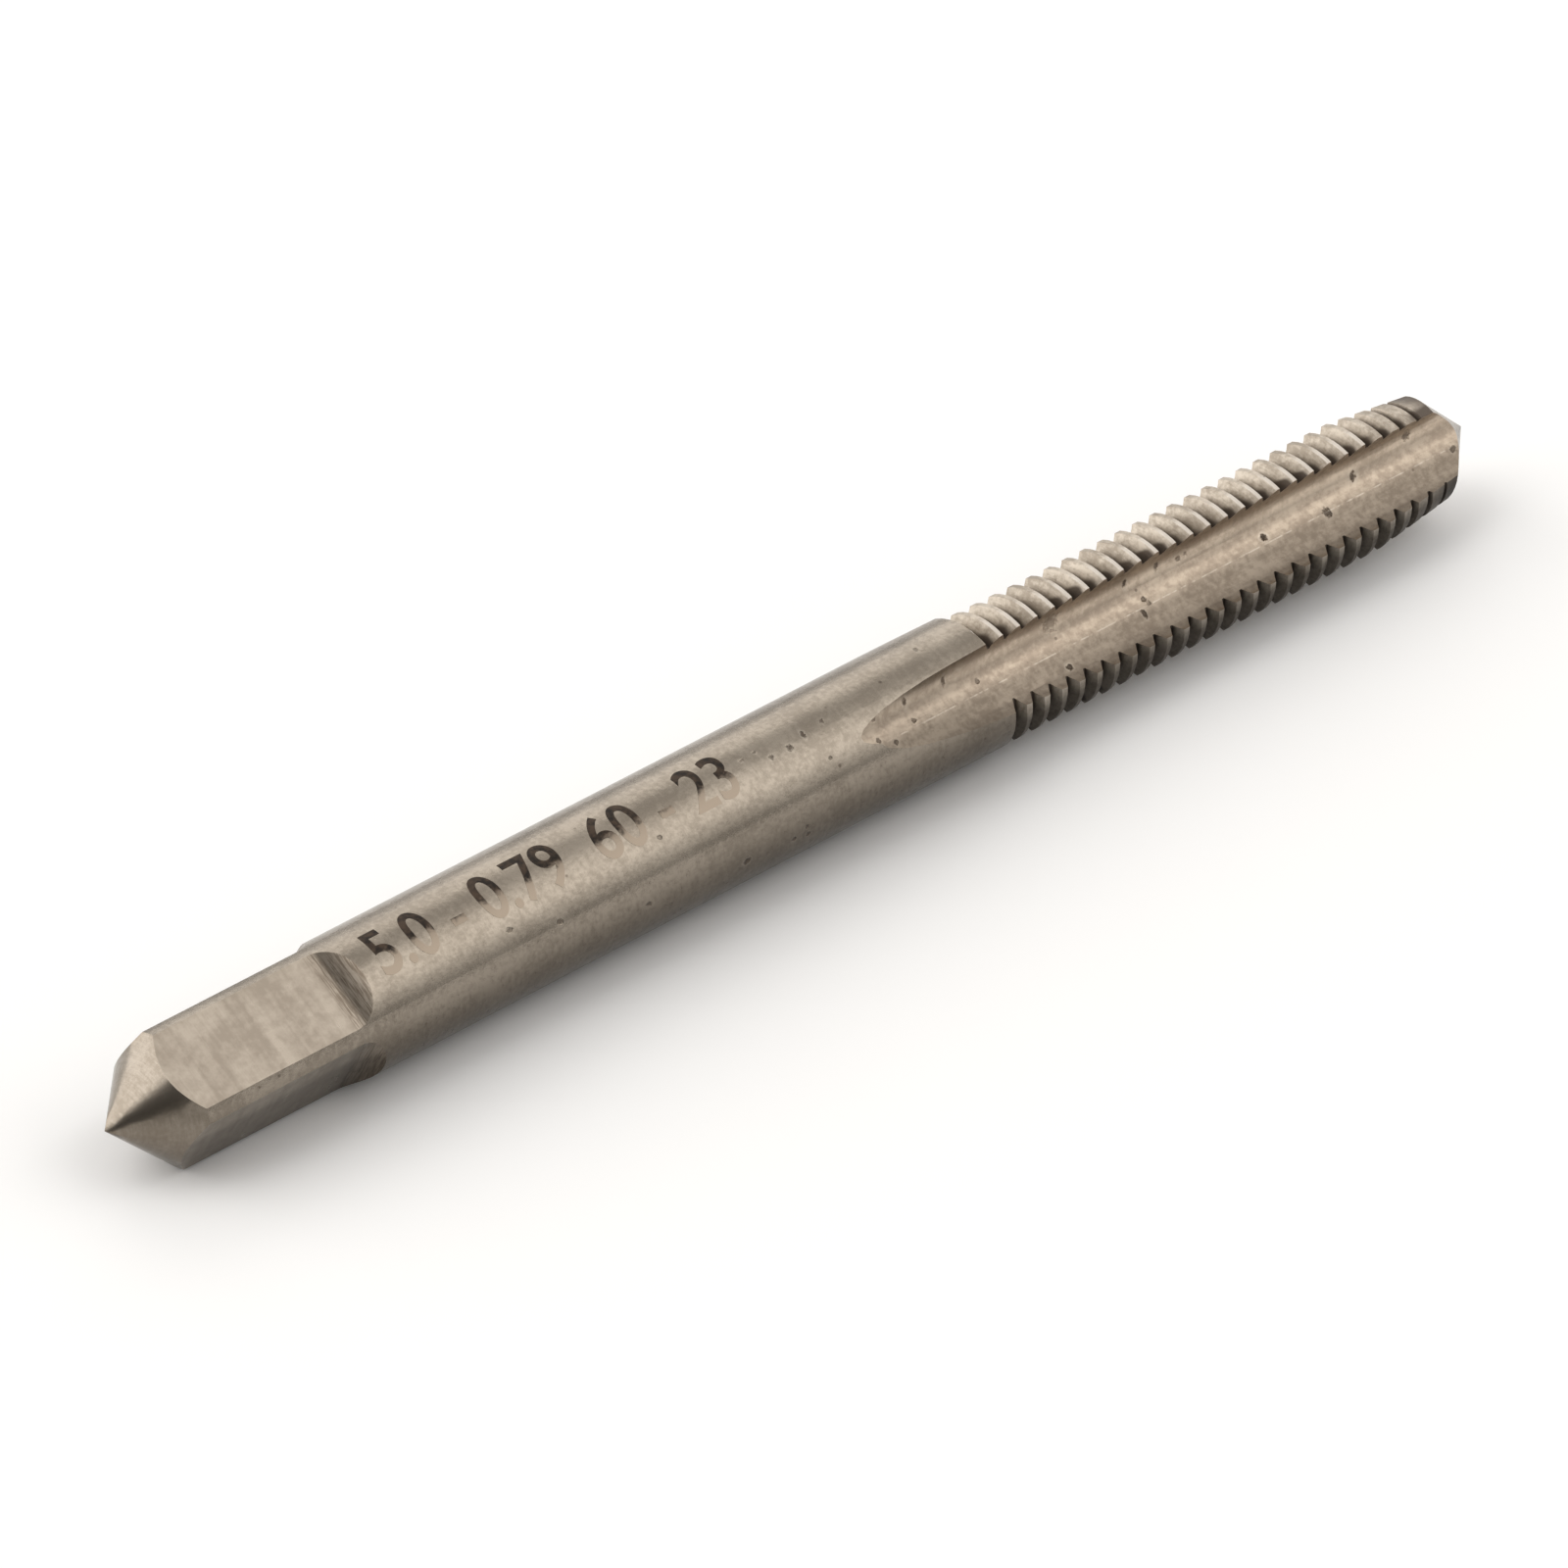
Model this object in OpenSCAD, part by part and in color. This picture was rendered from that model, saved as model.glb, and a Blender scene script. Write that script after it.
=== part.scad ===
// Straight-flute hand tap, number 10 size with 32 threads to the inch, one piece of hardened steel.
// It lies along X with its cutting end at +X, and Z is up.
// Clock angles run about the axis from +Y towards +Z, which is the way the tap turns when it cuts.

/* [Blank] */
// Length from point to point
overall_length = 60.3; // [54:0.1:90]
// Diameter of the ground shank
shank_diameter = 4.93; // [4.6:0.01:6]
// Included angle of the point at the drive end
drive_point_angle = 90; // [60:1:110]

/* [Drive square] */
// Distance across the flats
square_width = 3.86; // [3.2:0.01:4.4]
// Distance from the drive point to the end of the full flats
square_length = 8.9; // [5:0.1:12]
// Radius of the concave run-out from the flats to the shank
square_runout_radius = 1.4; // [0.6:0.05:4]
// Clock angle of the first flat
square_turn = 28; // [0:0.5:90]

/* [Thread] */
// Outside diameter of the thread
thread_diameter = 4.92; // [4.5:0.01:6]
// Distance from one thread to the next
pitch = 0.79375; // [0.7:0.00001:1]
// Depth of the thread
thread_depth = 0.53; // [0.35:0.01:0.58]
// Included angle of the thread
thread_angle = 60; // [50:1:65]
// Width of the flat at the bottom of the thread
root_flat = 0.08; // [0.04:0.01:0.15]
// Fall of each land from its cutting edge to its heel
land_relief = 0.12; // [0.02:0.01:0.2]
// Distance from the cutting point back to the first groove
thread_length = 22.6; // [15:0.1:26]

/* [Cutting end] */
// Length of the tapered lead on the threads
lead_length = 3.4; // [1.5:0.1:8]
// Diameter of the lead where the point starts
lead_end_diameter = 4; // [3.4:0.01:4.4]
// Included angle of the point at the cutting end
cutting_point_angle = 90; // [60:1:110]

/* [Flutes] */
// Number of flutes
flute_count = 3; // [3:1:4]
// Clock angle of the first cutting edge
flute_turn = 112.5; // [0:0.5:360]
// Angle that a flute takes from the cutting edge to the heel of the next land
flute_angle = 73; // [50:1:80]
// Diameter of the circle that the floor of each flute is laid to
web_diameter = 1.75; // [1.4:0.05:2.4]
// Distance from the cutting point back to where a flute starts
flute_length = 29.6; // [20:0.1:32]
// Radius of the wheel that ground the flutes
flute_wheel_radius = 65; // [40:1:90]
// Undercut of the cutting face
hook_angle = 10; // [0:1:15]
// Angle of the wheel's approach behind the cutting edge
flute_lean = 24; // [10:1:35]
// Radius between the cutting face and the floor of the flute
flute_corner_radius = 0.9; // [0.3:0.05:1]
// Slope of the floor behind the cutting face
floor_angle = 19; // [10:1:28]
// Distance from the wheel's centre plane to the crease in the floor
crease_offset = 0.446; // [0.2:0.001:0.8]
// Radius of the hollow from the crease up to the heel
heel_radius = 1.7; // [1.2:0.1:6]

/* [Hidden] */
$fn = 96;

shank_radius = shank_diameter / 2;
thread_radius = thread_diameter / 2;
root_radius = thread_radius - thread_depth;
web_radius = web_diameter / 2;
lead_end_radius = lead_end_diameter / 2;
drive_point_length = shank_radius / tan(drive_point_angle / 2);
cutting_point_length = lead_end_radius / tan(cutting_point_angle / 2);
point_start = overall_length - cutting_point_length;
lead_start = point_start - lead_length;
first_groove = overall_length - thread_length;
groove_half_width = root_flat / 2 + thread_depth * tan(thread_angle / 2);
thread_start = first_groove - groove_half_width;
flute_step = 360 / flute_count;
land_angle = flute_step - flute_angle;
groove_sweep = land_angle + 26;
spare = 0.5;

// The flute's outline stands in the wheel's plane: x points back to the cutting edge and y out from the axis.
function on_circle(radius, angle) = [radius * sin(angle), radius * cos(angle)];
function meeting(p, p_way, q, q_way) =
    let (d = q - p, turn = p_way[0] * q_way[1] - p_way[1] * q_way[0])
    p + p_way * ((d[0] * q_way[1] - d[1] * q_way[0]) / turn);
function toward(p, q) = (q - p) / norm(q - p);

cutting_edge = on_circle(thread_radius, flute_lean);
face_way = on_circle(1, flute_lean - hook_angle);
floor_foot = on_circle(web_radius, floor_angle);
floor_way = on_circle(1, floor_angle - 90);
heel = on_circle(thread_radius, flute_lean - flute_angle);
corner = meeting(cutting_edge, face_way, floor_foot, floor_way);
crease = meeting(floor_foot, floor_way, [-crease_offset, 0], [0, 1]);
heel_slope = atan2(heel[1] - crease[1], crease[0] - heel[0]);
heel_half_turn = asin(norm(heel - crease) / 2 / heel_radius);
heel_centre = crease + on_circle(heel_radius, heel_slope - heel_half_turn);
heel_steps = 6;
corner_turn = acos(face_way * floor_way);
corner_radius = min(flute_corner_radius, 0.98 * norm(crease - corner) * tan(corner_turn / 2));
corner_centre = corner + toward([0, 0], face_way + floor_way) * corner_radius / sin(corner_turn / 2);
corner_steps = 8;
flute_top = shank_radius + 2 * spare;
wheel_centre = web_radius + flute_wheel_radius;
wheel_reach = sqrt(pow(flute_wheel_radius, 2) - pow(wheel_centre - shank_radius, 2));
wheel_steps = 4;

// Outline of one flute, from the cutting edge round the corner to the floor, its crease and the heel.
flute_outline = concat(
    [corner + face_way * flute_top],
    [for (step = [0:corner_steps])
        corner_centre + on_circle(corner_radius,
            flute_lean - hook_angle + 90 + (180 - corner_turn) * step / corner_steps)],
    [for (step = [0:heel_steps])
        heel_centre - on_circle(heel_radius, heel_slope + heel_half_turn * (2 * step / heel_steps - 1))],
    [heel + on_circle(flute_top, heel_slope + heel_half_turn - 90)]
);

module blank() {
    rotate_extrude()
        polygon([
            [0, 0],
            [shank_radius, drive_point_length],
            [shank_radius, thread_start],
            [thread_radius, thread_start + pitch],
            [thread_radius, lead_start],
            [lead_end_radius, point_start],
            [0, overall_length]
        ]);
}

// One drive flat: a flat cut and, behind it, the round that the edge of the wheel leaves.
module flat_cut() {
    half = square_width / 2;
    translate([half, -shank_diameter, -spare])
        cube([shank_diameter, 2 * shank_diameter, square_length + spare]);
    translate([half + square_runout_radius, shank_diameter, square_length])
        rotate([90, 0, 0])
            cylinder(r = square_runout_radius, h = 2 * shank_diameter);
}

// One flute: straight at its full depth to the cutting point, and swept out along the wheel behind that.
// Under the thread the wheel's round is laid in short straight steps, so that each thread meets flat faces.
module flute_cut() {
    full_depth = overall_length - flute_length + wheel_reach;
    thread_turn = asin(max(spare, full_depth - thread_start + 3 * spare) / flute_wheel_radius);
    translate([0, 0, full_depth])
        linear_extrude(height = overall_length - full_depth + spare)
            polygon(flute_outline);
    translate([0, wheel_centre, full_depth]) {
        for (step = [0:wheel_steps - 1])
            rotate([thread_turn * (step + 0.5) / wheel_steps, 0, 0])
                wheel_step(thread_turn / wheel_steps / 2);
        rotate([thread_turn - 90, 0, 0])
            rotate([0, 90, 0])
                rotate_extrude(angle = asin(wheel_reach / flute_wheel_radius) + 3 - thread_turn, $fn = 720)
                    polygon([for (p = flute_outline) [wheel_centre - p[1], p[0]]]);
    }
}

// One straight step of the wheel's round, mitred to its neighbours on planes through the wheel's axis.
module wheel_step(half_turn) {
    far = wheel_centre + spare;
    intersection() {
        rotate([0, 90, 0])
            linear_extrude(height = 6 * flute_top, center = true)
                polygon([[0, 0], [far * tan(half_turn), -far], [-far * tan(half_turn), -far]]);
        linear_extrude(height = 3 * far * tan(half_turn), center = true)
            polygon([for (p = flute_outline) [p[0], (p[1] - wheel_centre) * cos(half_turn)]]);
    }
}

// The grooves of one land, each a part of a ring that leans by the thread's lead.
module land_grooves(land_number) {
    lead_angle = atan(pitch / (PI * (thread_diameter - thread_depth)));
    outer = thread_radius + spare;
    outer_half_width = root_flat / 2 + (outer - root_radius) * tan(thread_angle / 2);
    turns = floor((cutting_point_length + lead_length + thread_length) / pitch);
    for (turn = [0:turns]) {
        place = first_groove + pitch * (turn + land_number / flute_count);
        if (place < point_start)
            translate([0, 0, place])
                rotate([lead_angle, 0, 0])
                    rotate([0, 0, -groove_sweep / 2])
                        rotate_extrude(angle = groove_sweep)
                            polygon([
                                [root_radius, -root_flat / 2],
                                [outer, -outer_half_width],
                                [outer, outer_half_width],
                                [root_radius, root_flat / 2]
                            ]);
    }
}

// What the relief takes off one land: all that stands outside an eccentric copy of the thread and its lead.
module land_relief_cut(land_number) {
    from = first_groove + pitch * land_number / flute_count;
    shift = land_relief / 2 / sin(land_angle / 2);
    lead_slope = (thread_radius - lead_end_radius) / lead_length;
    difference() {
        translate([0, 0, from])
            rotate([0, 0, -groove_sweep / 2])
                rotate_extrude(angle = groove_sweep)
                    translate([root_radius / 2, 0])
                        square([thread_radius, overall_length - from]);
        translate([0, shift, 0])
            rotate([0, 0, 180])
                rotate_extrude()
                    polygon([
                        [0, from - spare],
                        [thread_radius - land_relief / 2, from - spare],
                        [thread_radius - land_relief / 2, lead_start],
                        [lead_end_radius - land_relief / 2 - lead_slope * cutting_point_length,
                            overall_length + spare],
                        [0, overall_length + spare]
                    ]);
    }
}

module tap() {
    color([0.62, 0.58, 0.53])
        translate([-overall_length / 2, 0, shank_radius])
            rotate([90, 0, 90])
                difference() {
                    rotate([0, 0, 30])
                        blank();
                    for (flat = [0:3])
                        rotate([0, 0, square_turn + 90 * flat])
                            flat_cut();
                    for (flute = [0:flute_count - 1])
                        rotate([0, 0, flute_turn - 90 + flute_lean + flute_step * flute])
                            flute_cut();
                    for (land = [0:flute_count - 1])
                        rotate([0, 0, flute_turn - land_angle / 2 + flute_step * land]) {
                            land_grooves(land);
                            land_relief_cut(land);
                        }
                }
}

tap();
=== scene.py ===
import bmesh
import bpy
import math
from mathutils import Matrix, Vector


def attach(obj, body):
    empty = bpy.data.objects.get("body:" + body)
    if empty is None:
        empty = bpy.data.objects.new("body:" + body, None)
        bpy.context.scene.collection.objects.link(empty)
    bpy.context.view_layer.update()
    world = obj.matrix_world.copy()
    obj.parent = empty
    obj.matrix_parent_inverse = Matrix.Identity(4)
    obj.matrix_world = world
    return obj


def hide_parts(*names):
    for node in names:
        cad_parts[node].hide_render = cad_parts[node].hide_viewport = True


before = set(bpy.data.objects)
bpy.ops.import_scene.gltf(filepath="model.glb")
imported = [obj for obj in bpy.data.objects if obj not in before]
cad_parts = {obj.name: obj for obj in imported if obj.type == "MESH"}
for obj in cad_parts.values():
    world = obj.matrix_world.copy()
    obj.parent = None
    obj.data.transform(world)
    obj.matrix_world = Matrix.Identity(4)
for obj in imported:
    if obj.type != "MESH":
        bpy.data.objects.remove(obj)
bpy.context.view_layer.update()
print("stage 1: frame loaded")

mm = 0.001
axisHeight = 2.465 * mm  # the tap lies on its shank, so its axis stands at the shank's radius


# Small helpers for nodes and for selecting

def addNode(tree, kind, place, **values):
    node = tree.nodes.new(kind)
    node.location = place
    for name, value in values.items():
        if hasattr(node, name):
            setattr(node, name, value)
        else:
            node.inputs[name].default_value = value
    return node


def addMath(tree, operation, place, first, second=None, clamp=False):
    node = addNode(tree, "ShaderNodeMath", place, operation=operation, use_clamp=clamp)
    for socket, value in zip(node.inputs, (first, second)):
        if value is None:
            continue
        if isinstance(value, (int, float)):
            socket.default_value = value
        else:
            tree.links.new(value, socket)
    return node.outputs[0]


def addRange(tree, place, value, low, high, outLow=0.0, outHigh=1.0, smooth=False):
    node = addNode(tree, "ShaderNodeMapRange", place)
    node.interpolation_type = "SMOOTHSTEP" if smooth else "LINEAR"
    tree.links.new(value, node.inputs["Value"])
    for name, number in (("From Min", low), ("From Max", high), ("To Min", outLow), ("To Max", outHigh)):
        node.inputs[name].default_value = number
    return node.outputs["Result"]


def addMix(tree, place, factor, first, second, blend="MIX"):
    node = addNode(tree, "ShaderNodeMix", place, data_type="RGBA", blend_type=blend)
    for socket, value in ((node.inputs[0], factor), (node.inputs[6], first), (node.inputs[7], second)):
        if isinstance(value, (int, float)):
            socket.default_value = value
        elif isinstance(value, tuple):
            socket.default_value = (*value, 1)
        else:
            tree.links.new(value, socket)
    return node.outputs[2]


def newGroup(name, inputs, outputs):
    group = bpy.data.node_groups.new(name, "ShaderNodeTree")
    for label, kind, value in inputs:
        socket = group.interface.new_socket(label, in_out="INPUT", socket_type=kind)
        if value is not None:
            socket.default_value = value
    for label, kind in outputs:
        group.interface.new_socket(label, in_out="OUTPUT", socket_type=kind)
    return group, addNode(group, "NodeGroupInput", (-1200, 0)), addNode(group, "NodeGroupOutput", (800, 0))


def useGroup(tree, group, place, vector=None, **values):
    node = addNode(tree, "ShaderNodeGroup", place, node_tree=group)
    for name, value in values.items():
        node.inputs[name].default_value = value
    if vector is not None:
        tree.links.new(vector, node.inputs["Vector"])
    return node


def selectOnly(piece):
    bpy.ops.object.select_all(action="DESELECT")
    piece.select_set(True)
    bpy.context.view_layer.objects.active = piece


# Camera, at the place that the photograph was taken from

cameraView = {
    "target": (-0.8187 * mm, 0, 2.2209 * mm),
    "azimuth": -41.1638,
    "elevation": 36.4972,
    "distance": 549.457 * mm,
    "lens": 377.13,
    "sensor": 36,
    "nearest": 0.01,
    "farthest": 40,
}


def makeCamera(values):
    turn, rise = math.radians(values["azimuth"]), math.radians(values["elevation"])
    outward = Vector((math.sin(turn) * math.cos(rise), -math.cos(turn) * math.cos(rise), math.sin(rise)))
    data = bpy.data.cameras.new("photoCamera")
    data.lens, data.sensor_width, data.sensor_fit = values["lens"], values["sensor"], "HORIZONTAL"
    data.clip_start, data.clip_end = values["nearest"], values["farthest"]
    camera = bpy.data.objects.new("photoCamera", data)
    bpy.context.scene.collection.objects.link(camera)
    camera.location = Vector(values["target"]) + outward * values["distance"]
    camera.rotation_euler = (math.pi / 2 - rise, 0, turn)
    bpy.context.scene.camera = camera


makeCamera(cameraView)


# Floor, and a world of soft panels that lights the tap

studio = {
    "floorColour": (0.90, 0.90, 0.90),
    "floorSize": 20,
    "floorDrop": 0.00001,
    "backdrop": 0.255,
    "backdropEdge": 0.10,
    "roomEdge": 0.20,
    "room": 0.17,
    "tint": (1.0, 0.98, 0.955),
}

# Each panel: where it starts and ends along the tap, from which to which angle it reaches about the tap
# (0 is the front horizon and 180 the back), the fade of its edges in both, and its brightness
panels = {
    "overPanel": (0.05, 1.10, 9, 172, 0.25, 12, 0.68),
    "frontPanel": (0.15, 0.95, 30, 84, 0.20, 38, 1.09),
    "backPanel": (0.10, 0.95, 125, 167, 0.20, 18, 0.95),
    "leftPanel": (-0.95, -0.15, 88, 200, 0.10, 20, 2.17),
}


def makePanelGroup():
    sockets = ["Along", "Turn", "From", "To", "Turn From", "Turn To", "Fade", "Turn Fade", "Brightness"]
    group, start, end = newGroup("softPanel", [(name, "NodeSocketFloat", 1.0) for name in sockets],
                                 [("Light", "NodeSocketFloat")])
    reach = []
    for row, (first, second, fade) in enumerate((
            ("Along", "From", "Fade"), ("To", "Along", "Fade"),
            ("Turn", "Turn From", "Turn Fade"), ("Turn To", "Turn", "Turn Fade"))):
        inside = addMath(group, "SUBTRACT", (-900, -200 * row), start.outputs[first], start.outputs[second])
        reach.append(addMath(group, "DIVIDE", (-700, -200 * row), inside, start.outputs[fade]))
    lengthwise = addMath(group, "MINIMUM", (-500, 0), reach[0], reach[1])
    roundwise = addMath(group, "MINIMUM", (-500, -400), reach[2], reach[3])
    nearest = addMath(group, "MINIMUM", (-300, -200), lengthwise, roundwise)
    mask = addRange(group, (0, -200), nearest, -0.5, 0.5, smooth=True)
    light = addMath(group, "MULTIPLY", (300, 0), mask, start.outputs["Brightness"])
    group.links.new(light, end.inputs["Light"])
    return group


def makeWorld(values, softPanels):
    world = bpy.data.worlds.new("studioWorld")
    bpy.context.scene.world = world
    world.use_nodes = True
    tree = world.node_tree
    tree.nodes.clear()
    way = addNode(tree, "ShaderNodeTexCoord", (-1300, 0))
    split = addNode(tree, "ShaderNodeSeparateXYZ", (-1100, 0))
    tree.links.new(way.outputs["Generated"], split.inputs[0])
    front = addMath(tree, "MULTIPLY", (-900, -100), split.outputs["Y"], -1)
    turn = addMath(tree, "ARCTAN2", (-700, -100), split.outputs["Z"], front)
    turn = addMath(tree, "MULTIPLY", (-500, -100), turn, math.degrees(1))
    light = addRange(tree, (-500, 200), split.outputs["Z"], values["backdropEdge"], values["roomEdge"],
                     values["backdrop"], values["room"], smooth=True)
    for row, (name, numbers) in enumerate(softPanels.items()):
        panel = addNode(tree, "ShaderNodeGroup", (-250, -200 * row), node_tree=panelGroup, name=name)
        tree.links.new(split.outputs["X"], panel.inputs["Along"])
        tree.links.new(turn, panel.inputs["Turn"])
        for socket, number in zip(list(panel.inputs)[2:], numbers):
            socket.default_value = number
        light = addMath(tree, "ADD", (0, -200 * row), light, panel.outputs["Light"])
    lamp = addNode(tree, "ShaderNodeBackground", (250, 0))
    lamp.inputs["Color"].default_value = (*values["tint"], 1)
    tree.links.new(light, lamp.inputs["Strength"])
    tree.links.new(lamp.outputs[0], addNode(tree, "ShaderNodeOutputWorld", (450, 0)).inputs["Surface"])


def makeFloor(values):
    bpy.ops.object.select_all(action="DESELECT")
    bpy.ops.mesh.primitive_plane_add(size=values["floorSize"], location=(0, 0, -values["floorDrop"]))
    floor = bpy.context.object
    floor.name = "studioFloor"
    paint = bpy.data.materials.new("paleFloor")
    paint.use_nodes = True
    shader = paint.node_tree.nodes["Principled BSDF"]
    shader.inputs["Base Color"].default_value = (*values["floorColour"], 1)
    shader.inputs["Roughness"].default_value = 1
    shader.inputs["Specular IOR Level"].default_value = 0
    floor.data.materials.append(paint)


panelGroup = makePanelGroup()
makeWorld(studio, panels)
makeFloor(studio)
print("stage 2: camera, light and floor")


# The tap itself, as a merged copy of its CAD solid with one finish for each ground surface

finishes = ["shankSteel", "squareSteel", "pointSteel", "fluteSteel", "threadSteel"]
# Places along the tap and radii in mm, how far a face leans towards the tap's ends or faces away from
# its axis, each from 0 to 1, and up to which angle in degrees two flats in a flute are shaded as one
zones = {
    "drivePoint": -26.6,
    "squareEnd": -19.4,
    "fluteStart": 0.4,
    "threadStart": 7.0,
    "shankEnd": 7.85,
    "cuttingPoint": 28.12,
    "roundRadius": 2.4,
    "rootRadius": 1.8,
    "pointLean": 0.6,
    "flankLean": 0.3,
    "runOutLean": 0.5,
    "roundFacing": 0.99,
    "crestFacing": 0.97,
    "softTurn": 20,
}


def finishOf(face, values):
    place, normal = face.center / mm, face.normal
    out = Vector((0, place.y, place.z - axisHeight / mm))
    radius, lean = out.length, abs(normal.x)
    facing = normal.dot(out.normalized()) if radius else 0
    isRound = facing > values["roundFacing"] and radius > values["roundRadius"]
    isPoint = lean > values["pointLean"]
    if place.x < values["squareEnd"]:
        if isPoint and place.x < values["drivePoint"]:
            return "pointSteel"
        return "shankSteel" if isRound else "squareSteel"
    if place.x > values["cuttingPoint"] and isPoint:
        return "pointSteel"
    if place.x < values["fluteStart"] or place.x < values["shankEnd"] and isRound:
        return "shankSteel"
    isCrest = facing > values["crestFacing"] and radius > values["rootRadius"]
    if place.x > values["threadStart"] and (lean > values["flankLean"] or isCrest):
        return "threadSteel"
    return "threadSteel" if lean > values["runOutLean"] else "fluteSteel"


def softenFlutes(mesh, limit):  # the narrow flats across a flute are shaded as one hollow
    shape = bmesh.new()
    shape.from_mesh(mesh)
    hollow = finishes.index("fluteSteel")
    corners = [corner.vector.copy() for corner in mesh.corner_normals]
    for face in shape.faces:
        if face.material_index != hollow:
            continue
        for loop, number in zip(face.loops, mesh.polygons[face.index].loop_indices):
            total = Vector()
            for other in loop.vert.link_loops:
                turn = other.face.normal.angle(face.normal, math.pi)
                if other.face.material_index == hollow and turn < math.radians(limit):
                    total += other.face.normal * other.calc_angle()
            if total.length:
                corners[number] = total.normalized()
    shape.free()
    mesh.normals_split_custom_set(corners)


def makeTapBody(values):
    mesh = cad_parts["tap"].data.copy()
    body = bpy.data.objects.new("tapBody", mesh)
    bpy.context.scene.collection.objects.link(body)
    selectOnly(body)
    bpy.ops.object.mode_set(mode="EDIT")
    bpy.ops.mesh.select_all(action="SELECT")
    bpy.ops.mesh.remove_doubles(threshold=0.000001, use_sharp_edge_from_normals=True)
    bpy.ops.mesh.select_all(action="DESELECT")
    bpy.ops.object.mode_set(mode="OBJECT")
    mesh.materials.clear()
    for name in finishes:
        mesh.materials.append(bpy.data.materials.new(name))
    for face in mesh.polygons:
        face.material_index = finishes.index(finishOf(face, values))
    softenFlutes(mesh, values["softTurn"])
    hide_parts("tap")
    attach(body, "root")
    return body


tapBody = makeTapBody(zones)
print("stage 3: tap body,", len(tapBody.data.polygons), "faces")


# Shader groups that the finishes share

def makeRadiusGroup():
    group, start, end = newGroup("axisRadius", [("Vector", "NodeSocketVector", None)],
                                 [("Radius", "NodeSocketFloat")])
    flat = addNode(group, "ShaderNodeVectorMath", (-700, 0), operation="MULTIPLY")
    flat.inputs[1].default_value = (0, 1, 1)
    length = addNode(group, "ShaderNodeVectorMath", (-450, 0), operation="LENGTH")
    group.links.new(start.outputs["Vector"], flat.inputs[0])
    group.links.new(flat.outputs[0], length.inputs[0])
    group.links.new(length.outputs["Value"], end.inputs["Radius"])
    return group


def addClock(tree, place):
    split = addNode(tree, "ShaderNodeSeparateXYZ", (-1150, 0))
    tree.links.new(place, split.inputs[0])
    clock = addMath(tree, "ARCTAN2", (-1000, 0), split.outputs["Z"], split.outputs["Y"])
    clock = addMath(tree, "MULTIPLY", (-850, 0), clock, math.degrees(1))
    return addMath(tree, "MODULO", (-550, 0), addMath(tree, "ADD", (-700, 0), clock, 360), 360)


def makeAcrossGroup():
    group, start, end = newGroup("fluteAcross", [
        ("Vector", "NodeSocketVector", None), ("Wheel Clock", "NodeSocketFloat", 136.5)],
        [("Across", "NodeSocketFloat")])
    clock = addMath(group, "SUBTRACT", (-400, 0), addClock(group, start.outputs["Vector"]),
                    start.outputs["Wheel Clock"])
    clock = addMath(group, "MODULO", (-100, 0), addMath(group, "ADD", (-250, 0), clock, 420), 120)
    turn = addMath(group, "RADIANS", (200, 0), addMath(group, "SUBTRACT", (50, 0), clock, 60))
    radius = useGroup(group, radiusGroup, (200, -200), start.outputs["Vector"]).outputs["Radius"]
    across = addMath(group, "MULTIPLY", (500, 0), addMath(group, "SINE", (350, 0), turn), radius)
    group.links.new(addMath(group, "MULTIPLY", (650, 0), across, -1), end.inputs["Across"])
    return group


def makeStrayGroup():
    group, start, end = newGroup("strayPits", [
        ("Vector", "NodeSocketVector", None), ("Scale", "NodeSocketFloat", 1.3),
        ("Share", "NodeSocketFloat", 0.8)], [("Pits", "NodeSocketFloat")])
    cells = addNode(group, "ShaderNodeTexVoronoi", (-700, 0))
    group.links.new(start.outputs["Vector"], cells.inputs["Vector"])
    group.links.new(start.outputs["Scale"], cells.inputs["Scale"])
    pick = addNode(group, "ShaderNodeSeparateColor", (-450, -200))
    group.links.new(cells.outputs["Color"], pick.inputs[0])
    chosen = addMath(group, "GREATER_THAN", (-200, -200), pick.outputs[0], start.outputs["Share"])
    core = addRange(group, (-200, 0), cells.outputs["Distance"], 0.05, 0.11, 1, 0, smooth=True)
    group.links.new(addMath(group, "MULTIPLY", (100, 0), core, chosen), end.inputs["Pits"])
    return group


def makeClockGroup():
    group, start, end = newGroup("clockBand", [
        ("Vector", "NodeSocketVector", None), ("From", "NodeSocketFloat", 0.0),
        ("To", "NodeSocketFloat", 90.0), ("Fade", "NodeSocketFloat", 10.0)], [("Band", "NodeSocketFloat")])
    clock = addClock(group, start.outputs["Vector"])
    after = addMath(group, "SUBTRACT", (-300, 100), clock, start.outputs["From"])
    before = addMath(group, "SUBTRACT", (-300, -100), start.outputs["To"], clock)
    nearest = addMath(group, "MINIMUM", (-100, 0), after, before)
    share = addMath(group, "DIVIDE", (100, 0), nearest, start.outputs["Fade"])
    group.links.new(addRange(group, (300, 0), share, -0.5, 0.5, smooth=True), end.inputs["Band"])
    return group


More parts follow.
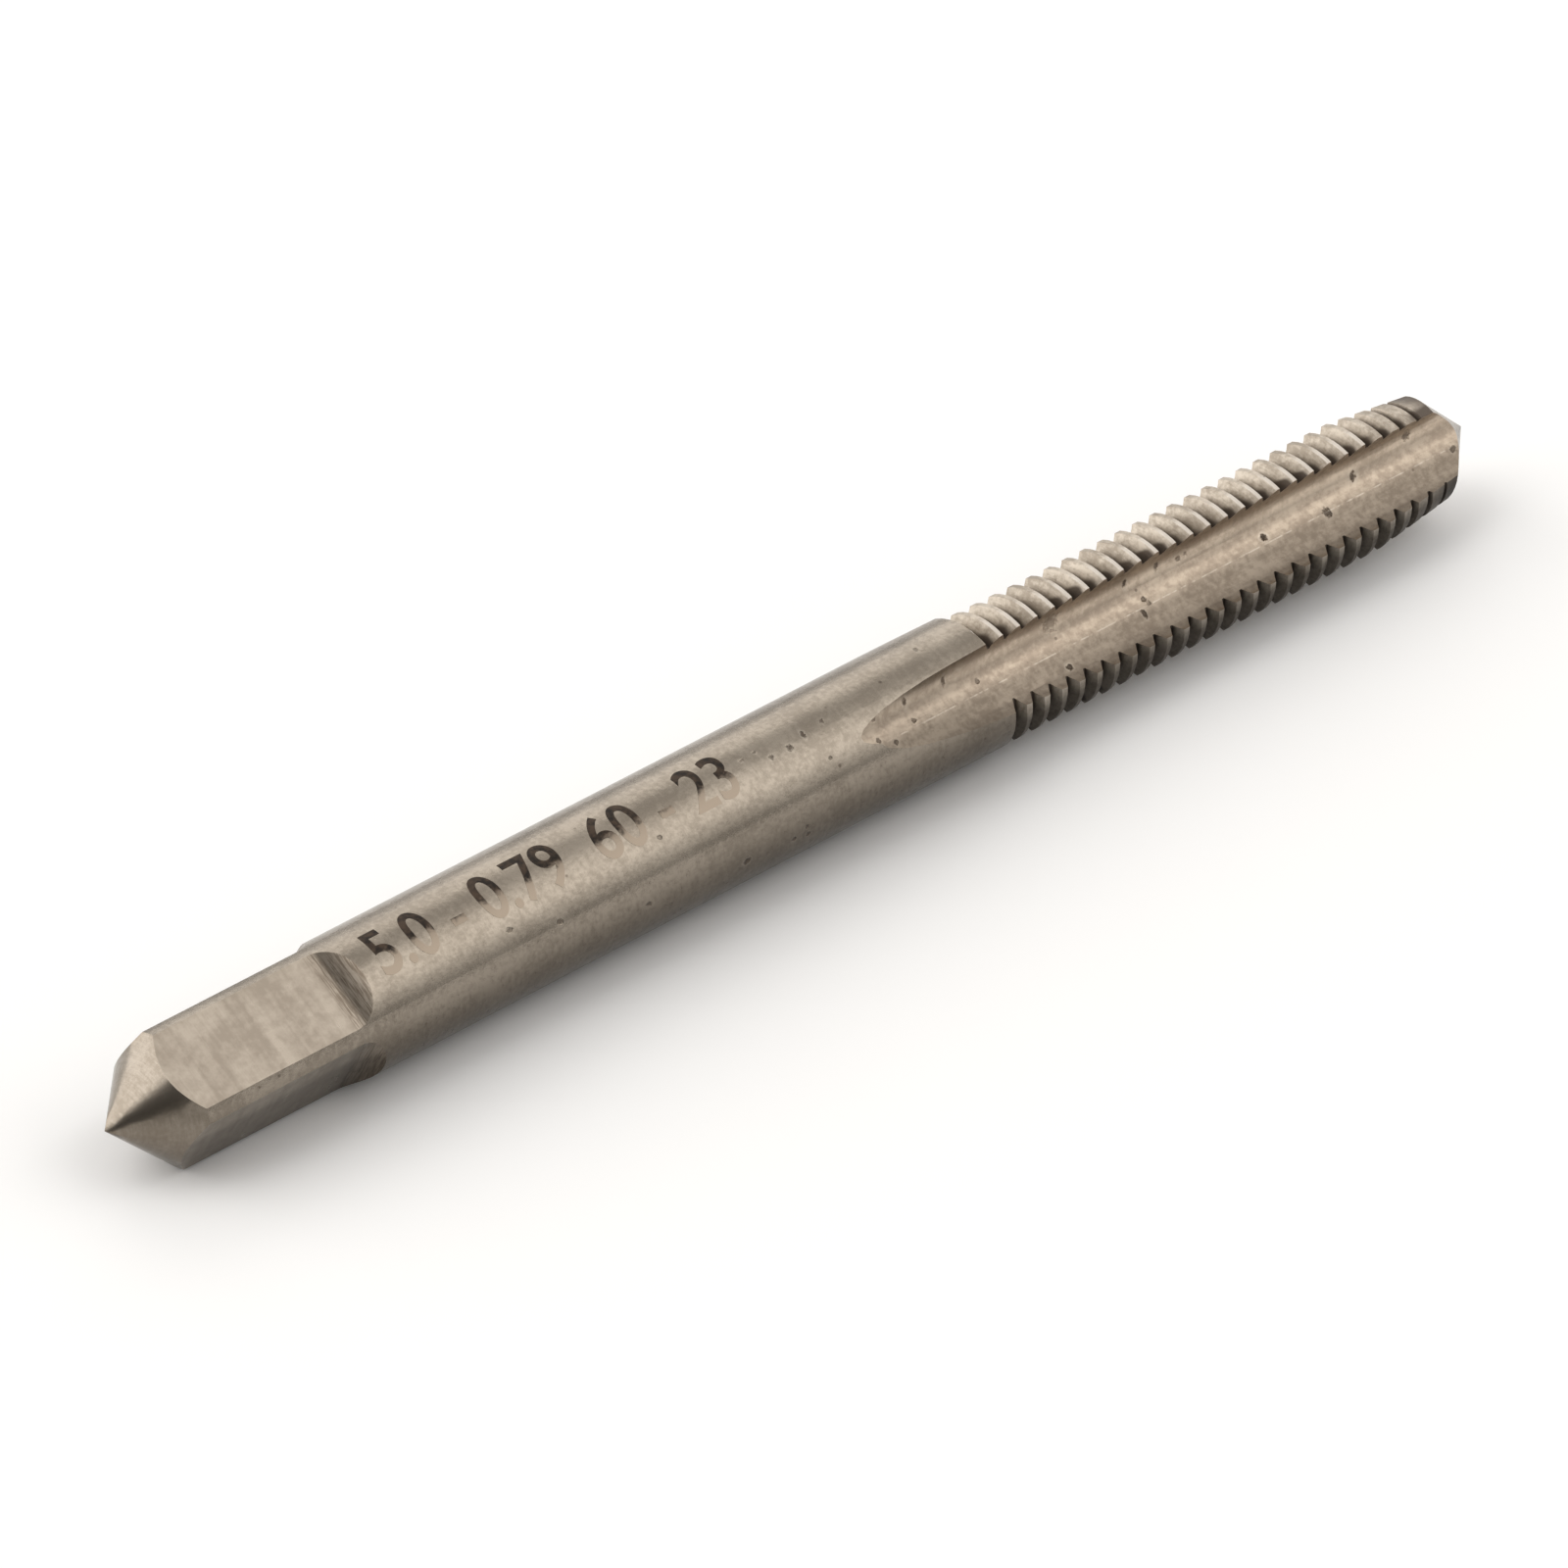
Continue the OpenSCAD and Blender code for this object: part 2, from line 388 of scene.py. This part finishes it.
def makeLinesGroup():
    group, start, end = newGroup("grindingLines", [
        ("Vector", "NodeSocketVector", None), ("Scale", "NodeSocketVector", (1, 1, 1)),
        ("Coarse", "NodeSocketFloat", 0.5)], [("Lines", "NodeSocketFloat")])
    stretch = addNode(group, "ShaderNodeVectorMath", (-800, 0), operation="MULTIPLY")
    group.links.new(start.outputs["Vector"], stretch.inputs[0])
    group.links.new(start.outputs["Scale"], stretch.inputs[1])
    fine = addNode(group, "ShaderNodeTexNoise", (-500, 150), Scale=4.0, Detail=3.0, Roughness=0.7)
    wide = addNode(group, "ShaderNodeTexNoise", (-500, -150), Scale=1.0, Detail=2.0, Roughness=0.5)
    for noise in (fine, wide):
        group.links.new(stretch.outputs[0], noise.inputs["Vector"])
    mix = addNode(group, "ShaderNodeMix", (-200, 0), data_type="FLOAT")
    group.links.new(start.outputs["Coarse"], mix.inputs[0])
    group.links.new(fine.outputs[0], mix.inputs[2])
    group.links.new(wide.outputs[0], mix.inputs[3])
    group.links.new(mix.outputs[0], end.inputs["Lines"])
    return group


def makeSpeckleGroup():
    group, start, end = newGroup("steelSpeckle", [
        ("Vector", "NodeSocketVector", None), ("Scale", "NodeSocketFloat", 4.0)],
        [("Speckle", "NodeSocketFloat"), ("Clouds", "NodeSocketFloat")])
    grain = addNode(group, "ShaderNodeTexNoise", (-500, 150), Detail=4.0, Roughness=0.65)
    clouds = addNode(group, "ShaderNodeTexNoise", (-500, -150), Scale=0.55, Detail=2.0, Roughness=0.5)
    group.links.new(start.outputs["Vector"], grain.inputs["Vector"])
    group.links.new(start.outputs["Vector"], clouds.inputs["Vector"])
    group.links.new(start.outputs["Scale"], grain.inputs["Scale"])
    group.links.new(grain.outputs[0], end.inputs["Speckle"])
    group.links.new(clouds.outputs[0], end.inputs["Clouds"])
    return group


def makeSpotGroup():
    group, start, end = newGroup("rustSpot", [
        ("Vector", "NodeSocketVector", None), ("Centre", "NodeSocketVector", (0, 0, 0)),
        ("Stretch", "NodeSocketVector", (1, 1, 1)), ("Size", "NodeSocketFloat", 0.15),
        ("Strength", "NodeSocketFloat", 1.0)], [("Mask", "NodeSocketFloat"), ("Rim", "NodeSocketFloat")])
    away = addNode(group, "ShaderNodeVectorMath", (-900, 0), operation="SUBTRACT")
    shape = addNode(group, "ShaderNodeVectorMath", (-700, 0), operation="MULTIPLY")
    length = addNode(group, "ShaderNodeVectorMath", (-500, 0), operation="LENGTH")
    ragged = addNode(group, "ShaderNodeTexNoise", (-900, -250), Scale=8.0, Detail=2.0)
    group.links.new(start.outputs["Vector"], away.inputs[0])
    group.links.new(start.outputs["Vector"], ragged.inputs["Vector"])
    group.links.new(start.outputs["Centre"], away.inputs[1])
    group.links.new(away.outputs[0], shape.inputs[0])
    group.links.new(start.outputs["Stretch"], shape.inputs[1])
    group.links.new(shape.outputs[0], length.inputs[0])
    reach = addMath(group, "DIVIDE", (-300, 0), length.outputs["Value"], start.outputs["Size"])
    uneven = addRange(group, (-500, -250), ragged.outputs[0], 0, 1, -0.8, 0.8)
    reach = addMath(group, "ADD", (-150, 0), reach, uneven)
    core = addRange(group, (100, 100), reach, 0.35, 1.15, 1, 0, smooth=True)
    mask = addMath(group, "MULTIPLY", (350, 100), core, start.outputs["Strength"])
    group.links.new(mask, end.inputs["Mask"])
    rise = addRange(group, (100, -100), reach, 0.9, 1.3, 0, 1, smooth=True)
    fall = addRange(group, (100, -300), reach, 1.3, 1.9, 1, 0, smooth=True)
    rim = addMath(group, "MULTIPLY", (350, -200), rise, fall)
    clear = addMath(group, "POWER", (350, -400), start.outputs["Strength"], 4)  # only deep pits show a rim
    group.links.new(addMath(group, "MULTIPLY", (500, -200), rim, clear), end.inputs["Rim"])
    return group


radiusGroup = makeRadiusGroup()
clockGroup = makeClockGroup()
acrossGroup = makeAcrossGroup()
strayGroup = makeStrayGroup()
linesGroup = makeLinesGroup()
speckleGroup = makeSpeckleGroup()
spotGroup = makeSpotGroup()


def startFinish(material):
    material.use_nodes = True
    tree = material.node_tree
    shader = tree.nodes["Principled BSDF"]
    shader.location = (1300, 0)
    tree.nodes["Material Output"].location = (1650, 0)
    coordinates = addNode(tree, "ShaderNodeTexCoord", (-1700, 0))
    mapping = addNode(tree, "ShaderNodeMapping", (-1500, 0))  # millimetres, with the axis at zero
    mapping.inputs["Scale"].default_value = (1 / mm, 1 / mm, 1 / mm)
    mapping.inputs["Location"].default_value = (0, 0, -axisHeight / mm)
    tree.links.new(coordinates.outputs["Object"], mapping.inputs["Vector"])
    return tree, shader, mapping.outputs[0]


def endFinish(tree, shader, colour, roughness, height, depth):
    bump = addNode(tree, "ShaderNodeBump", (1050, -300), Strength=1.0)
    bump.inputs["Distance"].default_value = depth * mm
    tree.links.new(height, bump.inputs["Height"])
    tree.links.new(bump.outputs[0], shader.inputs["Normal"])
    tree.links.new(colour, shader.inputs["Base Color"])
    tree.links.new(roughness, shader.inputs["Roughness"])
    shader.inputs["Metallic"].default_value = 1


def addSpots(tree, place, spots):
    mask = rim = None
    for number, (*centre, size, narrow, strength) in enumerate(spots):
        spot = useGroup(tree, spotGroup, (-1000, -500 - 200 * number), place,
                        Centre=centre, Size=size, Stretch=(narrow, 1, 1), Strength=strength)
        if mask is None:
            mask, rim = spot.outputs["Mask"], spot.outputs["Rim"]
        else:
            mask = addMath(tree, "MAXIMUM", (-700, -500 - 200 * number), mask, spot.outputs["Mask"])
            rim = addMath(tree, "MAXIMUM", (-500, -500 - 200 * number), rim, spot.outputs["Rim"])
    return mask, rim


# Small rust pits and stains: x, y and z in mm from the middle of the axis, size in mm,
# how much narrower it is along the tap, and strength
pits = {
    "shankSteel": [
        (-3.338, -0.719, 2.356, 0.09, 0.6, 0.5), (-2.751, -0.682, 2.366, 0.09, 1.0, 0.5),
        (-2.325, -1.085, 2.213, 0.11, 1.2, 0.8), (-1.517, -1.084, 2.214, 0.13, 1.0, 0.8),
        (-0.782, -0.921, 2.284, 0.16, 2.0, 0.9), (0.143, -0.786, 2.336, 0.10, 1.0, 0.7),
        (5.075, 0.033, 2.463, 0.16, 2.0, 0.35), (-12.563, -2.226, 1.058, 0.12, 0.8, 0.7),
        (-8.894, -2.463, 0.104, 0.11, 0.8, 0.6), (-4.590, -2.453, -0.234, 0.12, 0.9, 0.8),
        (-2.500, -2.437, -0.346, 0.10, 1.0, 0.7), (-1.869, -2.421, -0.455, 0.10, 1.0, 0.7),
        (-1.928, -2.460, -0.095, 0.08, 1.0, 0.6), (-14.513, -1.948, 1.509, 0.11, 0.8, 0.45),
        (-7.721, -1.638, 1.840, 0.09, 1.0, 0.4), (-0.370, -1.845, 1.635, 0.08, 1.0, 0.4),
    ],
    "fluteSteel": [
        (1.866, -1.464, 1.949, 0.12, 1.0, 0.6), (3.441, -1.239, 1.776, 0.22, 2.4, 0.8),
        (5.383, -1.004, 1.593, 0.20, 2.2, 0.8), (6.810, -1.133, 0.982, 0.12, 1.5, 0.45),
        (3.513, -1.641, 1.205, 0.11, 1.0, 0.6), (1.693, -1.945, 1.412, 0.10, 1.0, 0.6),
        (2.334, -2.108, 1.113, 0.10, 1.0, 0.6), (10.487, -1.695, 0.098, 0.12, 1.0, 0.85),
        (10.559, -0.587, 1.327, 0.40, 0.9, 0.45), (14.047, -0.491, 1.236, 0.18, 1.8, 1.0),
        (15.505, -0.482, 1.275, 0.20, 2.0, 0.8), (14.301, -1.248, 0.259, 0.17, 1.8, 0.75),
        (14.581, -0.878, 0.547, 0.10, 1.0, 0.6), (14.666, -1.055, 0.441, 0.10, 1.0, 0.5),
        (16.490, -0.500, 1.108, 0.12, 1.0, 0.6), (16.833, -0.493, 1.148, 0.09, 1.0, 0.45),
        (20.093, -0.903, 0.524, 0.14, 1.0, 1.0), (24.481, -0.582, 0.866, 0.16, 1.0, 0.9),
        (22.832, -1.109, 0.398, 0.20, 1.2, 0.75), (27.048, -0.482, 1.287, 0.24, 1.3, 0.7),
        (28.679, -1.156, 0.347, 0.13, 1.0, 0.6),
    ],
}

# Each finish: light and dark colour, roughness and its spread, scale and share of the grinding lines,
# size of the speckle, depth of the relief in mm, and bands of painted shade about the axis, mostly on
# the side that faces down, each with the clock angles where it starts and ends, its fade and its share
# of the brightness
steel = {
    "shankSteel": {
        "light": (0.315, 0.274, 0.225), "dark": (0.241, 0.207, 0.168), "roughness": 0.25, "spread": 0.05,
        "lines": (7.0, 0.4, 0.4), "lineShare": 0.30, "speckle": 5.0, "relief": 0.013,
        "paintedShadeBands": [(169, 345, 44, 0.54)]},
    "squareSteel": {
        "light": (0.367, 0.319, 0.264), "dark": (0.271, 0.231, 0.187), "roughness": 0.30, "spread": 0.05,
        "lines": (0.8, 0.05, 0.05), "lineShare": 0.60, "speckle": 3.0, "relief": 0.006,
        "paintedShadeBands": [(193, 345, 20, 0.63)]},
    "pointSteel": {
        "light": (0.305, 0.268, 0.224), "dark": (0.241, 0.207, 0.168), "roughness": 0.24, "spread": 0.05,
        "lines": (9.0, 0.3, 0.3), "lineShare": 0.5, "speckle": 6.0, "relief": 0.003,
        "paintedShadeBands": [(138, 172, 22, 0.66), (172, 345, 16, 0.78)]},
    "fluteSteel": {
        "light": (0.318, 0.265, 0.209), "dark": (0.241, 0.196, 0.153), "roughness": 0.36, "spread": 0.08,
        "lines": (0.10, 5.0, 5.0), "lineShare": 0.25, "speckle": 4.0, "relief": 0.012,
        "paintedShadeBands": [(215, 340, 30, 0.65)]},
    "threadSteel": {
        "light": (0.52, 0.463, 0.392), "dark": (0.345, 0.298, 0.244), "roughness": 0.50, "spread": 0.06,
        "lines": (8.0, 0.5, 0.5), "lineShare": 0.4, "speckle": 5.0, "relief": 0.014,
        "paintedShadeBands": [(186, 345, 30, 0.24)]},
}
stain = {
    "brown": (0.065, 0.047, 0.035),
    "pitDark": 0.85,
    "pitRough": 0.3,
    "pitDepth": 4.0,
    "strayDark": 0.55,
    "rim": (0.647, 0.588, 0.506),
    "rimShare": 0.22,
    # tint of the painted shade in the bands about the axis
    "tint": (1.0, 0.985, 0.97),
}
# Painted shade in the thread's roots, which climbs near the cutting edges, and a painted highlight on
# its crests; radii in mm
thread = {
    # colour of the painted shade in the roots
    "root": (0.118, 0.096, 0.078),
    "rootRadius": 1.93,
    "rootFade": 2.12,
    "edgeClimb": 0.18,
    "edgeFrom": 101,
    "edgeTo": 125,
    "edgeFade": 13,
    "edgeStep": 120,
    "crestHighlight": (0.612, 0.565, 0.506),
    "crestRadius": 2.385,
    "crestFade": 2.425,
}
# The flutes: a broken painted highlight along the crease, and painted shade: a darker start with a
# darker strip by the cutting edge
flute = {
    "crease": (0.647, 0.588, 0.506),
    "creasePlace": -0.47,
    "creaseWidth": 0.045,
    "creaseShare": 0.35,
    "noseFrom": 4.0,
    "noseTo": 9.0,
    "noseShadeShare": 0.79,
    "lipFrom": 0.35,
    "lipTo": 0.75,
    "lipShadeShare": 0.74,
}
# Painted light and shade across a flute: brightness from the heel of the next land to the cutting face,
# and the most it may be
paintedFluteShading = [(-1.50, 0.78), (-1.13, 0.76), (-0.88, 0.68), (-0.74, 0.70), (-0.50, 0.92), (-0.42, 1.24),
              (-0.14, 1.32), (0.06, 1.19), (0.26, 1.58), (0.50, 1.88), (0.72, 1.68), (0.90, 1.36)]
paintedShadingPeak = 2.0
# Dark streaks where the flats of the square run out to the shank
runOut = {"from": -21.45, "to": -21.15, "dark": (0.42, 0.38, 0.34), "share": 0.75}


def addPaintedFluteShading(tree, place, colour):
    # painted light and shade: the colour is scaled across each flute by a ramp of brightness
    across = useGroup(tree, acrossGroup, (-1000, 600), place).outputs["Across"]
    low, high = paintedFluteShading[0][0], paintedFluteShading[-1][0]
    ramp = addNode(tree, "ShaderNodeValToRGB", (-600, 600))
    ramp.color_ramp.interpolation = "LINEAR"
    while len(ramp.color_ramp.elements) < len(paintedFluteShading):
        ramp.color_ramp.elements.new(0.5)
    for element, (spot, tone) in zip(ramp.color_ramp.elements, paintedFluteShading):
        element.position = (spot - low) / (high - low)
        element.color = (tone / paintedShadingPeak, tone / paintedShadingPeak, tone / paintedShadingPeak, 1)
    tree.links.new(addRange(tree, (-800, 600), across, low, high), ramp.inputs[0])
    bright = addNode(tree, "ShaderNodeVectorMath", (-300, 600), operation="SCALE")
    bright.inputs["Scale"].default_value = paintedShadingPeak
    tree.links.new(ramp.outputs[0], bright.inputs[0])
    colour = addMix(tree, (0, 600), 1.0, colour, bright.outputs[0], "MULTIPLY")
    # painted highlight: a broken bright line along the crease
    away = addMath(tree, "SUBTRACT", (-800, 900), across, flute["creasePlace"])
    away = addMath(tree, "ABSOLUTE", (-600, 900), away)
    creaseHighlightMask = addRange(tree, (-400, 900), away, 0, flute["creaseWidth"], flute["creaseShare"], 0, smooth=True)
    broken = addNode(tree, "ShaderNodeTexNoise", (-800, 1100), Scale=2.6, Detail=4.0)
    tree.links.new(place, broken.inputs["Vector"])
    broken = addRange(tree, (-400, 1100), broken.outputs[0], 0.45, 0.6, smooth=True)
    creaseHighlightMask = addMath(tree, "MULTIPLY", (-200, 900), creaseHighlightMask, broken)
    colour = addMix(tree, (200, 600), creaseHighlightMask, colour, flute["crease"])
    split = addNode(tree, "ShaderNodeSeparateXYZ", (-1000, 1300))
    tree.links.new(place, split.inputs[0])
    along = split.outputs["X"]
    # painted shade: the start of each flute is darker, with a darker strip by the cutting edge
    nose = addRange(tree, (0, 900), along, flute["noseFrom"], flute["noseTo"], 1, 0, smooth=True)
    lip = addRange(tree, (0, 1100), across, flute["lipFrom"], flute["lipTo"], smooth=True)
    lip = addMath(tree, "MULTIPLY", (200, 1100), nose, lip)
    for mask, share in ((nose, flute["noseShadeShare"]), (lip, flute["lipShadeShare"])):
        shadedColour = addMix(tree, (400, 900), 1.0, colour, (share, share, share), "MULTIPLY")
        colour = addMix(tree, (600, 600), mask, colour, shadedColour)
    return colour


def addStreaks(tree, place, colour):
    split = addNode(tree, "ShaderNodeSeparateXYZ", (-1000, 600))
    tree.links.new(place, split.inputs[0])
    ending = addRange(tree, (-600, 600), split.outputs["X"], runOut["from"], runOut["to"], smooth=True)
    lines = useGroup(tree, linesGroup, (-800, 800), place, Scale=(9.0, 0.4, 0.4), Coarse=0.3)
    lines = lines.outputs["Lines"]
    streaks = addRange(tree, (-600, 800), lines, 0.42, 0.56, runOut["share"], 0, smooth=True)
    dark = addMix(tree, (0, 600), 1.0, colour, runOut["dark"], "MULTIPLY")
    return addMix(tree, (200, 600), addMath(tree, "MULTIPLY", (-300, 700), ending, streaks), colour, dark)


def addRootShadeAndCrestHighlight(tree, place, colour, clouds):
    radius = useGroup(tree, radiusGroup, (-1000, -300), place).outputs["Radius"]
    edges = []
    for number in range(2):
        turn = thread["edgeStep"] * number
        band = useGroup(tree, clockGroup, (-1000, -450 - 150 * number), place,
                        From=thread["edgeFrom"] + turn, To=thread["edgeTo"] + turn, Fade=thread["edgeFade"])
        edges.append(band.outputs["Band"])
    near = addMath(tree, "MAXIMUM", (-850, -400), *edges)
    uneven = addRange(tree, (-850, -550), clouds, 0.3, 0.7, 0, 2 * thread["edgeClimb"])
    climb = addMath(tree, "MULTIPLY", (-700, -400), near, uneven)
    level = addMath(tree, "SUBTRACT", (-500, -300), radius, climb)
    # painted shade: the roots darken, higher up near the cutting edges, and the crests get a painted
    # highlight
    rootShade = addRange(tree, (-300, -300), level, thread["rootRadius"], thread["rootFade"], 1, 0, smooth=True)
    crestHighlight = addRange(tree, (-300, -500), radius, thread["crestRadius"], thread["crestFade"], smooth=True)
    colour = addMix(tree, (250, 200), rootShade, colour, thread["root"])
    return addMix(tree, (450, 200), crestHighlight, colour, thread["crestHighlight"])


def makeFinish(name, values):
    tree, shader, place = startFinish(bpy.data.materials[name])
    lines = useGroup(tree, linesGroup, (-1000, 300), place, Scale=values["lines"]).outputs["Lines"]
    speckle = useGroup(tree, speckleGroup, (-1000, 0), place, Scale=values["speckle"])
    blend = addNode(tree, "ShaderNodeMix", (-700, 150), data_type="FLOAT")
    blend.inputs[0].default_value = values["lineShare"]
    tree.links.new(speckle.outputs["Speckle"], blend.inputs[2])
    tree.links.new(lines, blend.inputs[3])
    tone = blend.outputs[0]
    clouds = addRange(tree, (-700, -100), speckle.outputs["Clouds"], 0.3, 0.7, -0.10, 0.10)
    cloudy = addMath(tree, "ADD", (-500, 100), tone, clouds)
    amount = addRange(tree, (-300, 100), cloudy, 0.40, 0.60)
    colour = addMix(tree, (0, 200), amount, values["dark"], values["light"])
    rough = addRange(tree, (0, -50), tone, 0.3, 0.7, values["roughness"] + values["spread"],
                     values["roughness"] - values["spread"])
    height = tone
    if name == "threadSteel":
        colour = addRootShadeAndCrestHighlight(tree, place, colour, speckle.outputs["Clouds"])
    if name == "fluteSteel":
        colour = addPaintedFluteShading(tree, place, colour)
    if name == "squareSteel":
        colour = addStreaks(tree, place, colour)
    # painted shade: each band darkens the colour about the axis, mostly on the side that faces down
    for number, (first, last, fade, share) in enumerate(values["paintedShadeBands"]):
        band = useGroup(tree, clockGroup, (-1000, -800 - 150 * number), place,
                        From=first, To=last, Fade=fade)
        shade = tuple(share * part for part in stain["tint"])
        shadedColour = addMix(tree, (600, 400), 1.0, colour, shade, "MULTIPLY")
        colour = addMix(tree, (750, 200), band.outputs["Band"], colour, shadedColour)
    stray = useGroup(tree, strayGroup, (-1000, -1200), place).outputs["Pits"]
    stray = addMath(tree, "MULTIPLY", (-700, -1200), stray, stain["strayDark"])
    colour = addMix(tree, (800, 400), stray, colour, stain["brown"])
    if pits.get(name):
        mask, rim = addSpots(tree, place, pits[name])
        rim = addMath(tree, "MULTIPLY", (0, -400), rim, stain["rimShare"])
        colour = addMix(tree, (250, 200), rim, colour, stain["rim"])
        dark = addMath(tree, "MULTIPLY", (0, -600), mask, stain["pitDark"])
        colour = addMix(tree, (450, 200), dark, colour, stain["brown"])
        coarse = addMath(tree, "MULTIPLY", (250, -600), mask, stain["pitRough"])
        rough = addMath(tree, "ADD", (450, -50), rough, coarse)
        depth = addMath(tree, "MULTIPLY", (250, -800), mask, stain["pitDepth"])
        height = addMath(tree, "SUBTRACT", (450, -300), height, depth)
    endFinish(tree, shader, colour, rough, height, values["relief"])


for finishName, finishValues in steel.items():
    makeFinish(finishName, finishValues)
print("stage 4: finishes")


# Plain numbers on the shank: its diameter, the pitch, the length and the thread's length in millimetres.
# They are wrapped round the shank and worn away towards the front, between two clock angles in degrees.

marking = {
    "words": "5.0 - 0.79  60 - 23",
    "from": -19.45,
    "to": -3.95,
    "height": 1.90,
    "clock": 109.5,
    "strips": 16,
    "proud": 0.006,
    "thickness": 0.03,
    "boldness": 0.012,
    "dark": (0.012, 0.008, 0.005),
    "brown": (0.059, 0.038, 0.024),
    "worn": (0.265, 0.218, 0.171),
    "wearStart": 109,
    "wearEnd": 117,
    "wearUneven": 3.44,
}


def makeMarking(values):
    bpy.ops.object.select_all(action="DESELECT")
    bpy.ops.object.text_add(location=(0, 0, 0))
    label = bpy.context.object
    label.name = label.data.name = "shankNumbers"
    label.data.body = values["words"]
    label.data.offset = values["boldness"]
    bpy.ops.object.convert(target="MESH")
    label = bpy.context.object
    label.data.materials.clear()
    label.data.materials.append(bpy.data.materials.new("etchedNumbers"))
    bpy.ops.object.mode_set(mode="EDIT")
    bpy.ops.mesh.select_all(action="SELECT")
    bpy.ops.mesh.remove_doubles(threshold=0.0001)
    spots = [vertex.co.copy() for vertex in label.data.vertices]
    low, high = (Vector([pick(spot[i] for spot in spots) for i in range(3)]) for pick in (min, max))
    for strip in range(1, values["strips"]):
        bpy.ops.mesh.select_all(action="SELECT")
        rise = low.y + (high.y - low.y) * strip / values["strips"]
        bpy.ops.mesh.bisect(plane_co=(0, rise, 0), plane_no=(0, 1, 0))
    bpy.ops.mesh.select_all(action="SELECT")
    bpy.ops.mesh.quads_convert_to_tris()
    bpy.ops.mesh.select_all(action="DESELECT")
    bpy.ops.object.mode_set(mode="OBJECT")
    clock = math.radians(values["clock"])
    out, up = Vector((0, math.cos(clock), math.sin(clock))), Vector((0, math.sin(clock), -math.cos(clock)))
    wide = (values["to"] - values["from"]) * mm / (high.x - low.x)
    tall = values["height"] * mm / (high.y - low.y)
    seat = axisHeight + values["proud"] * mm
    for vertex in label.data.vertices:  # wrapped round the shank from the middle of their height
        turn = (vertex.co.y - (low.y + high.y) / 2) * tall / axisHeight
        along = values["from"] * mm + (vertex.co.x - low.x) * wide
        wrapped = (out * math.cos(turn) + up * math.sin(turn)) * seat
        vertex.co = Vector((along, wrapped.y, wrapped.z + axisHeight))
    label.data.update()
    selectOnly(label)
    skin = label.modifiers.new("skin", "SOLIDIFY")
    skin.thickness, skin.offset = values["thickness"] * mm, -1
    bpy.ops.object.modifier_apply(modifier="skin")
    bpy.ops.object.shade_smooth_by_angle(angle=math.radians(30))
    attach(label, "root")
    return label


def makeEtching(values):
    tree, shader, place = startFinish(bpy.data.materials["etchedNumbers"])
    clock = addClock(tree, place)
    speckle = useGroup(tree, speckleGroup, (-1000, -200), place, Scale=3.0).outputs["Speckle"]
    patchy = addRange(tree, (-800, 300), speckle, 0.38, 0.62)
    ink = addMix(tree, (-300, 300), patchy, values["dark"], values["brown"])
    uneven = addRange(tree, (-800, -200), speckle, 0.3, 0.7, -values["wearUneven"], values["wearUneven"])
    ragged = addMath(tree, "ADD", (-700, -100), clock, uneven)
    wear = addRange(tree, (-500, 0), ragged, values["wearStart"], values["wearEnd"], smooth=True)
    colour = addMix(tree, (0, 200), wear, ink, values["worn"])
    rough = addRange(tree, (0, -50), wear, 0, 1, 0.6, 0.34)
    metal = addRange(tree, (0, -250), wear, 0, 1, 0.1, 1)
    shader.inputs["Specular IOR Level"].default_value = 0.2
    endFinish(tree, shader, colour, rough, speckle, 0.004)
    tree.links.new(metal, shader.inputs["Metallic"])


shankNumbers = makeMarking(marking)
makeEtching(marking)
print("stage 5: numbers on the shank,", len(shankNumbers.data.polygons), "faces")

bpy.context.scene.view_settings.view_transform = "Standard"
